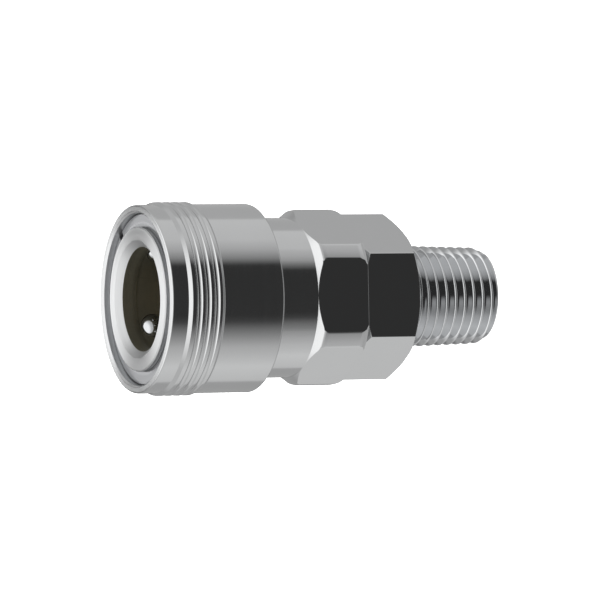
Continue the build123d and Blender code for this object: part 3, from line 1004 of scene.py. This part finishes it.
def make_thread(sizes):
    """The threaded shank, cut square at its end and bevelled."""
    base = (sizes.gauge_diameter - sizes.gauge_length * sizes.taper) / 2
    start = -SPARE_TURNS * sizes.pitch
    turns = math.ceil(sizes.thread_length / sizes.pitch) + 2 * SPARE_TURNS
    thread = run_tree("pipe_thread", thread_tree(), {
        "Columns": THREAD_COLUMNS,
        "Rows": THREAD_ROWS,
        "Turns": turns,
        "Pitch": sizes.pitch,
        "Start Height": start,
        "Base Radius": base,
        "Taper": sizes.taper,
        "Depth": sizes.depth,
        "Triangle": THREAD_TRIANGLE,
        "Crest Rounding": sizes.crest_round,
        "Root Rounding": sizes.root_round,
        "Fade Start": sizes.thread_length - sizes.runout_start,
        "Fade End": sizes.thread_length - sizes.runout_end,
        "Start Angle": sizes.start_angle,
        "Finish": finish("thread_chrome"),
    })
    beyond = start + (turns + 2) * sizes.pitch
    edit(thread, lambda mesh: close_ends(mesh, start - sizes.pitch, beyond))
    end = base + sizes.end_bevel * sizes.taper / 2 - sizes.end_drop
    wide = sizes.end_drop + 2 * sizes.edge_round + sizes.thread_length * sizes.taper / 2
    top = sizes.thread_length + SHOULDER_OVERLAP
    outline = [
        (0.0, 0.0),
        (end, 0.0, sizes.edge_round),
        *wall(end + wide, wide * sizes.end_bevel / sizes.end_drop, top),
        (0.0, top),
    ]
    combine(thread, turned_piece("thread_envelope", outline, TURNED_COLUMNS), "INTERSECT")
    return thread


def adapter_outline(sizes, reach):
    """Half section of the adapter's hexagon and spigot, still solid."""
    soft = sizes.edge_round
    low = sizes.thread_length
    apothem = sizes.hex_flats / 2
    rise = max(EDGE_BREAK, reach - apothem) * ADAPTER_BEVEL
    fall = max(EDGE_BREAK, (reach - sizes.face_radius) * ADAPTER_BEVEL)
    top = ADAPTER_HIGH.z
    return [
        (0.0, low),
        (min(reach - EDGE_BREAK, apothem), low, soft),
        *wall(reach, low + rise, BODY_JOINT - fall, soft),
        (min(reach - EDGE_BREAK, sizes.face_radius), BODY_JOINT, soft),
        *wall(SPIGOT_UNDERCUT, BODY_JOINT, SPIGOT_SHOULDER - UNDERCUT_SLOPE),
        *wall(SPIGOT_RADIUS, SPIGOT_SHOULDER, top - SPIGOT_BEVEL),
        (SPIGOT_RADIUS - SPIGOT_BEVEL, top),
        (0.0, top),
    ]


def air_way_outline(sizes):
    """Half section of the tool that bores the air way."""
    bore, bevel = sizes.bore_radius, sizes.bore_bevel
    top = ADAPTER_HIGH.z + TOOL_REACH
    return [
        (0.0, -TOOL_REACH),
        (bore + bevel + TOOL_REACH, -TOOL_REACH),
        *wall(bore, bevel, SPIGOT_STEP - (SPIGOT_BORE - bore), sizes.edge_round),
        (SPIGOT_BORE, SPIGOT_STEP, sizes.edge_round),
        (SPIGOT_BORE, top),
        (0.0, top),
    ]


class COUPLING_OT_adapter(bpy.types.Operator):
    """Make the adapter: hexagon, tapered thread and spigot"""

    bl_idname = "coupling.adapter"
    bl_label = "Adapter and thread"

    def execute(self, context):
        sizes = context.scene.coupling_adapter
        turn = context.scene.coupling_body.hex_turn
        blend = CORNER_BLEND * sizes.edge_round
        columns = hexagon_columns(sizes.hex_flats, 2 * sizes.hex_flats, turn, blend)
        adapter = turned_mesh("adapter_shell", columns, lambda reach: adapter_outline(sizes, reach))
        combine(adapter, make_thread(sizes), "UNION")
        combine(adapter, turned_piece("air_way_tool", air_way_outline(sizes)), "DIFFERENCE")
        shade(adapter)
        paint(adapter, 2, lambda face, radius: face.center.z < sizes.thread_length)
        finish_flats(adapter, sizes.thread_length, BODY_JOINT, turn, 1)
        dress(
            adapter, "coupling_body", "chrome_adapter", ["adapter"],
            "turned_chrome", "flat_chrome", "thread_chrome",
        )
        return {"FINISHED"}


# Snap ring, valve and packing

RING_OPENING = math.radians(6)
RING_DIRECTION = math.radians(39.5)
RING_INNER = 8.93 * MM
RING_OUTER = 11.12 * MM
RING_ROUND = 0.12 * MM
STEM_RADIUS = 2.4 * MM
STEM_BEVEL = 0.3 * MM
HEAD_TOP = SEAL_LOW.z - SEAT_GAP
HEAD_LOW = HEAD_TOP - 1.1 * MM
HEAD_BEVEL = 0.3 * MM
BOSS_RADIUS = 4.6 * MM
BOSS_BEVEL = 0.5 * MM
DIMPLE_RADIUS = 2.2 * MM
DIMPLE_DEPTH = 0.6 * MM
PACKING_BORE = 5.75 * MM
PACKING_LIP_OUT = 6.825 * MM
PACKING_LIP_DEEP = 6.375 * MM
PACKING_LIP_IN = 6.15 * MM
PACKING_LIP_DEPTH = 0.5 * MM
PACKING_ROUND = 0.12 * MM


class COUPLING_OT_stop_ring(bpy.types.Operator):
    """Make the open snap ring in the nose"""

    bl_idname = "coupling.stop_ring"
    bl_label = "Snap ring"

    def execute(self, context):
        start = RING_DIRECTION + RING_OPENING / 2
        swept = math.tau - RING_OPENING
        columns = [(start + swept * step / TURNED_COLUMNS, 0.0) for step in range(TURNED_COLUMNS + 1)]
        outline = [
            (RING_INNER, RING_LOW.z, RING_ROUND),
            *wall(RING_OUTER, RING_LOW.z, RING_HIGH.z, RING_ROUND),
            (RING_INNER, RING_HIGH.z, RING_ROUND),
        ]
        ring = turned_mesh("snap_ring", columns, lambda reach: outline, is_open=True)
        shade(ring)
        dress(ring, "coupling_body", "ring_steel", ["stop_ring"], "snap_ring_steel")
        return {"FINISHED"}


class COUPLING_OT_valve(bpy.types.Operator):
    """Make the valve and the packing in the plug bore"""

    bl_idname = "coupling.valve"
    bl_label = "Valve and packing"

    def execute(self, context):
        soft = PACKING_ROUND
        outline = [
            (0.0, VALVE_LOW.z),
            (STEM_RADIUS - STEM_BEVEL, VALVE_LOW.z, soft),
            (STEM_RADIUS, VALVE_LOW.z + STEM_BEVEL, soft),
            (STEM_RADIUS, HEAD_LOW, 2 * soft),
            (VALVE_HIGH.x - HEAD_BEVEL, HEAD_LOW, soft),
            *wall(VALVE_HIGH.x, HEAD_LOW + HEAD_BEVEL, HEAD_TOP, soft),
            (BOSS_RADIUS, HEAD_TOP),
            (BOSS_RADIUS, VALVE_HIGH.z - BOSS_BEVEL, 2 * soft),
            (BOSS_RADIUS - BOSS_BEVEL, VALVE_HIGH.z, 2 * soft),
            (DIMPLE_RADIUS, VALVE_HIGH.z, soft),
            (0.0, VALVE_HIGH.z - DIMPLE_DEPTH),
        ]
        valve = turned_piece("check_valve_poppet", outline)
        shade(valve)
        dress(valve, "check_valve", "valve_brass", ["valve"], "turned_brass")
        outer, low, high = PACKING_HIGH.x, PACKING_LOW.z, PACKING_HIGH.z
        section = [
            (PACKING_BORE, low, soft),
            *wall(outer, low, high, soft),
            (PACKING_LIP_OUT, high, soft),
            (PACKING_LIP_DEEP, high - PACKING_LIP_DEPTH, 2 * soft),
            (PACKING_LIP_IN, high, soft),
            (PACKING_BORE, high, soft),
        ]
        packing = turned_piece("plug_packing_ring", section)
        shade(packing)
        dress(packing, "coupling_body", "packing_rubber", ["plug_packing"], "packing_rubber_finish")
        return {"FINISHED"}


# Springs

SPRING_POINTS = 48
SPRING_SIDES = 14
CLOSED_PITCH = 1.04
GROUND_SHARE = 0.35


def spring_tree():
    """Geometry Nodes that wind a spring with closed ends and grind the ends flat."""
    nodes, given = node_group(
        "coil spring",
        ["Points Per Turn", "Wire Sides"],
        ["Turns", "Coil Radius", "Wire Radius", "Low", "High"],
    )
    low, high, wire = given["Low"], given["High"], given["Wire Radius"]
    line = nodes.add("GeometryNodeCurvePrimitiveLine")
    count = given["Turns"] * given["Points Per Turn"]
    points = nodes.add("GeometryNodeResampleCurve", {"Curve": line, "Count": count}, mode="COUNT")
    wound = nodes.add("GeometryNodeSplineParameter", output="Factor") * given["Turns"]
    closed = wire * (2 * CLOSED_PITCH)
    wire_low = wire * GROUND_SHARE + low
    room = wire * -GROUND_SHARE + high - wire_low
    open_turns = given["Turns"] - 2.0
    open_pitch = nodes.math("DIVIDE", room - closed * 2.0, open_turns)
    first = nodes.math("MINIMUM", wound, 1.0)
    middle = nodes.math("MINIMUM", nodes.math("MAXIMUM", wound - 1.0, 0.0), open_turns)
    last = nodes.math("MAXIMUM", wound - 1.0 - open_turns, 0.0)
    rise = first * closed + middle * open_pitch + last * closed
    moved = nodes.round_axis(given["Coil Radius"], wound * math.tau, rise + wire_low)
    coil = nodes.add("GeometryNodeSetPosition", {"Geometry": points, "Position": moved})
    section = nodes.add(
        "GeometryNodeCurvePrimitiveCircle", {"Resolution": given["Wire Sides"], "Radius": wire}, "Curve"
    )
    swept = nodes.add(
        "GeometryNodeCurveToMesh", {"Curve": coil, "Profile Curve": section, "Fill Caps": True}
    )
    x, y, z = nodes.split(nodes.add("GeometryNodeInputPosition"))
    ground = nodes.math("MINIMUM", nodes.math("MAXIMUM", z, low), high)
    cut = nodes.add("GeometryNodeSetPosition", {"Geometry": swept, "Position": nodes.vector(x, y, ground)})
    return end_group(nodes, cut, given["Finish"])


def make_spring(name, tree, wire, coil, turns, low, high):
    """One wound spring between two heights."""
    spring = run_tree(name, tree, {
        "Turns": turns,
        "Coil Radius": coil,
        "Wire Radius": wire,
        "Low": low,
        "High": high,
        "Points Per Turn": SPRING_POINTS,
        "Wire Sides": SPRING_SIDES,
        "Finish": finish("spring_wire_finish"),
    })
    edit(spring, lambda mesh: bmesh.ops.remove_doubles(mesh, verts=mesh.verts, dist=MERGE_DISTANCE))
    shade(spring)
    return spring


class COUPLING_OT_springs(bpy.types.Operator):
    """Wind the sleeve's spring and the valve's spring"""

    bl_idname = "coupling.springs"
    bl_label = "Springs"

    def execute(self, context):
        sizes = context.scene.coupling_springs
        tree = spring_tree()
        for name, node, body, joint, wire, low, high in (
            ("sleeve_coil", "sleeve_spring", "sleeve_spring_coil", "sleeve_slide",
             sizes.sleeve_wire, SLEEVE_SPRING_LOW, SLEEVE_SPRING_HIGH),
            ("valve_coil", "valve_spring", "coupling_body", "valve_slide",
             sizes.valve_wire, VALVE_SPRING_LOW, VALVE_SPRING_HIGH),
        ):
            free = high.z - low.z
            turns = sizes.fill * (free - sizes.travel) / (2 * wire)
            spring = make_spring(name, tree, wire, high.x - wire, turns, low.z, high.z)
            dress(spring, body, "spring_wire", [node], "spring_wire_finish")
            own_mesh(spring)
        return {"FINISHED"}


# Carried-over solids

KEPT_FINISHES = {
    "adapter_seal": "packing_rubber_finish",
    "valve_seal": "packing_rubber_finish",
    "packing_collar": "turned_brass",
    "valve_holder": "turned_brass",
    **{f"lock_ball_{number}": "ball_finish" for number in range(1, BALL_COUNT + 1)},
}


class COUPLING_OT_finishes(bpy.types.Operator):
    """Give the solids that are shown as they are their finishes"""

    bl_idname = "coupling.finishes"
    bl_label = "Finishes of the kept solids"

    def execute(self, context):
        for node, name in KEPT_FINISHES.items():
            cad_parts[node].material_slots[0].material = finish(name)
        return {"FINISHED"}


# Studio

# Brightness of the studio's walls round the coupling: direction in degrees, 0 towards the camera,
# and how bright the wall is there. The dark stretches are black cards.
WALLS = (
    (-180, 0.05), (-171, 0.05), (-166, 0.42), (-124, 0.49), (-122, 0.74), (-92, 0.86), (-62, 0.62),
    (-47, 0.36), (-29, 0.07), (-21, 0.042), (41, 0.042), (50, 0.33), (62, 0.58), (76, 0.74),
    (112, 0.78), (114, 0.58), (150, 0.52), (166, 0.50), (171, 0.05), (180, 0.05),
)
WHITE_ROOM = 1.0


def edge(start, end):
    """The two angles between which a part of the studio fades in or out."""
    return math.radians(start), math.radians(end)


# Edges of the studio's parts: heights above the horizon, depths below it and turns away from the
# camera. Behind the coupling a bright strip stands in a dark gap.
CARD_TOP = edge(2, 14)
CEILING_EDGE = edge(26, 50)
GROUND_EDGE = edge(37, 46)
NADIR_EDGE = edge(66, 84)
NADIR = 0.28
REAR_EDGE = edge(130, 150)
REAR_WALL = 0.66
REAR_DIM = 0.42
GAP_EDGE = edge(154, 164)
GAP = 0.06
STRIP_SIDE = edge(174.5, 177.5)
STRIP_FOOT = edge(2, 5)
STRIP_HEAD = edge(55, 58)
STRIP = 1.9

# The ground's upper edge slants down by this much from one side of the camera to the other
SLANT_EDGE = edge(-24, 24)
GROUND_SLANT = math.radians(12)

# Lamp, floor and camera
KEY_PLACE = Vector((0.35, -0.55, 0.9))
KEY_SIZE = 1.2
KEY_POWER = 12.0
FLOOR_CELLS = 4
CLIP_START = 0.01
CLIP_END = 20.0


def studio_world(settings):
    """A soft studio for the reflections: walls, black cards, a ceiling, a ground and a bright strip."""
    world = bpy.data.worlds.new("studio")
    world.use_nodes = True
    world.node_tree.nodes.clear()
    tree = Tree(world.node_tree)
    x, y, z = tree.split(tree.add("ShaderNodeTexCoord", output="Generated"))
    around = tree.math("ARCTAN2", x, y * -1.0)
    lift = tree.math("ARCSINE", z)
    dip = lift * -1.0
    away = tree.math("ABSOLUTE", around)
    ramp = tree.node("ShaderNodeValToRGB", {"Fac": tree.math("MULTIPLY_ADD", around, 1 / math.tau, 0.5)})
    stops = ramp.color_ramp.elements
    while len(stops) < len(WALLS):
        stops.new(1.0)
    for stop, (direction, level) in zip(stops, WALLS):
        stop.position = direction / 360 + 0.5
        stop.color = (level, level, level, 1.0)
    walls = tree.add("ShaderNodeRGBToBW", {0: Output(tree, ramp.outputs[0])})
    slant = tree.smooth(around, *SLANT_EDGE, 0.0, GROUND_SLANT)
    upright = tree.smooth(lift, *STRIP_FOOT) * tree.smooth(lift, *STRIP_HEAD, 1.0, 0.0)
    strip = tree.smooth(away, *STRIP_SIDE) * upright
    rear = tree.smooth(away, *REAR_EDGE, REAR_WALL, REAR_DIM)
    level = tree.mix(tree.smooth(away, *GAP_EDGE), rear, GAP)
    level = tree.mix(tree.smooth(lift, *CARD_TOP), walls, level)
    for cover, brightness in (
        (tree.smooth(dip - slant, *GROUND_EDGE), settings.ground),
        (tree.smooth(dip, *NADIR_EDGE), NADIR),
        (tree.smooth(lift, *CEILING_EDGE), settings.ceiling),
        (strip, STRIP),
        (tree.add("ShaderNodeLightPath", output="Is Camera Ray"), WHITE_ROOM),
    ):
        level = tree.mix(cover, level, brightness)
    background = tree.add("ShaderNodeBackground", {"Color": WHITE, "Strength": level})
    tree.node("ShaderNodeOutputWorld", {"Surface": background})
    bpy.context.scene.world = world


class COUPLING_OT_stage(bpy.types.Operator):
    """Make the floor, the studio light and the camera"""

    bl_idname = "coupling.stage"
    bl_label = "Studio"

    def execute(self, context):
        settings = context.scene.coupling_stage
        studio_world(settings)
        context.scene.view_settings.view_transform = "Standard"
        grid = bmesh.new()
        half = settings.floor_size / 2
        bmesh.ops.create_grid(grid, x_segments=FLOOR_CELLS, y_segments=FLOOR_CELLS, size=half)
        floor = place_object("studio_floor", plain_mesh("studio_floor", grid))
        floor.data.materials.append(floor_material())
        floor.visible_glossy = False
        lamp = bpy.data.lights.new("soft_key", "AREA")
        lamp.shape = "DISK"
        lamp.size = KEY_SIZE
        lamp.energy = KEY_POWER
        key = place_object("soft_key", lamp)
        aim = KEY_PLACE.to_track_quat("Z", "Y").to_matrix().to_4x4()
        key.matrix_world = Matrix.Translation(KEY_PLACE) @ aim
        key.visible_glossy = False
        add_camera(context.scene, settings)
        return {"FINISHED"}


def add_camera(scene, settings):
    """The camera of the photograph: the coupling's axis points left, and the mouth turns towards it."""
    lens = bpy.data.cameras.new("camera")
    lens.lens = settings.lens
    lens.clip_start = CLIP_START
    lens.clip_end = CLIP_END
    lift, roll = settings.lift, settings.roll
    right = Vector((0.0, -math.sin(lift), -math.cos(lift)))
    up = Vector((1.0, 0.0, 0.0))
    back = Vector((0.0, -math.cos(lift), math.sin(lift)))
    turned_right = math.cos(roll) * right + math.sin(roll) * up
    turned_up = -math.sin(roll) * right + math.cos(roll) * up
    rim = Vector((0.0, 0.0, SLEEVE_HIGH.z))
    place = rim + settings.left * turned_right + settings.low * turned_up + settings.distance * back
    camera = place_object("camera", lens)
    axes = Matrix((turned_right, turned_up, back)).transposed().to_4x4()
    camera.matrix_world = Matrix.Translation(place) @ axes
    scene.camera = camera


# The add-on

OPERATORS = (
    COUPLING_OT_body,
    COUPLING_OT_sleeve,
    COUPLING_OT_adapter,
    COUPLING_OT_stop_ring,
    COUPLING_OT_valve,
    COUPLING_OT_springs,
    COUPLING_OT_finishes,
    COUPLING_OT_stage,
)
SETTINGS = {
    "coupling_sleeve": CouplingSleeveSizes,
    "coupling_body": CouplingBodySizes,
    "coupling_adapter": CouplingAdapterSizes,
    "coupling_springs": CouplingSpringSizes,
    "coupling_finishes": CouplingFinishes,
    "coupling_stage": CouplingStageSettings,
}


class COUPLING_PT_panel(bpy.types.Panel):
    """Sizes, finishes and builders of the coupling"""

    bl_idname = "COUPLING_PT_panel"
    bl_label = "Quick coupling"
    bl_space_type = "VIEW_3D"
    bl_region_type = "UI"
    bl_category = "Coupling"

    def draw(self, context):
        layout = self.layout
        for operator in OPERATORS:
            layout.operator(operator.bl_idname)
        for name in SETTINGS:
            box = layout.box()
            group = getattr(context.scene, name)
            for key in group.bl_rna.properties.keys():
                if key not in {"rna_type", "name"}:
                    box.prop(group, key)


def register():
    """Registers the settings, the operators and the panel."""
    for name, group in SETTINGS.items():
        bpy.utils.register_class(group)
        setattr(bpy.types.Scene, name, PointerProperty(type=group))
    for operator in OPERATORS:
        bpy.utils.register_class(operator)
    bpy.utils.register_class(COUPLING_PT_panel)


def unregister():
    """Takes them away again."""
    bpy.utils.unregister_class(COUPLING_PT_panel)
    for operator in reversed(OPERATORS):
        bpy.utils.unregister_class(operator)
    for name, group in reversed(list(SETTINGS.items())):
        delattr(bpy.types.Scene, name)
        bpy.utils.unregister_class(group)


def main():
    """Builds every piece and the studio."""
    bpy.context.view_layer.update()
    register()
    bpy.ops.coupling.body()
    bpy.ops.coupling.sleeve()
    bpy.ops.coupling.adapter()
    bpy.ops.coupling.stop_ring()
    bpy.ops.coupling.valve()
    bpy.ops.coupling.springs()
    bpy.ops.coupling.finishes()
    bpy.ops.coupling.stage()


if __name__ == "__main__":
    main()
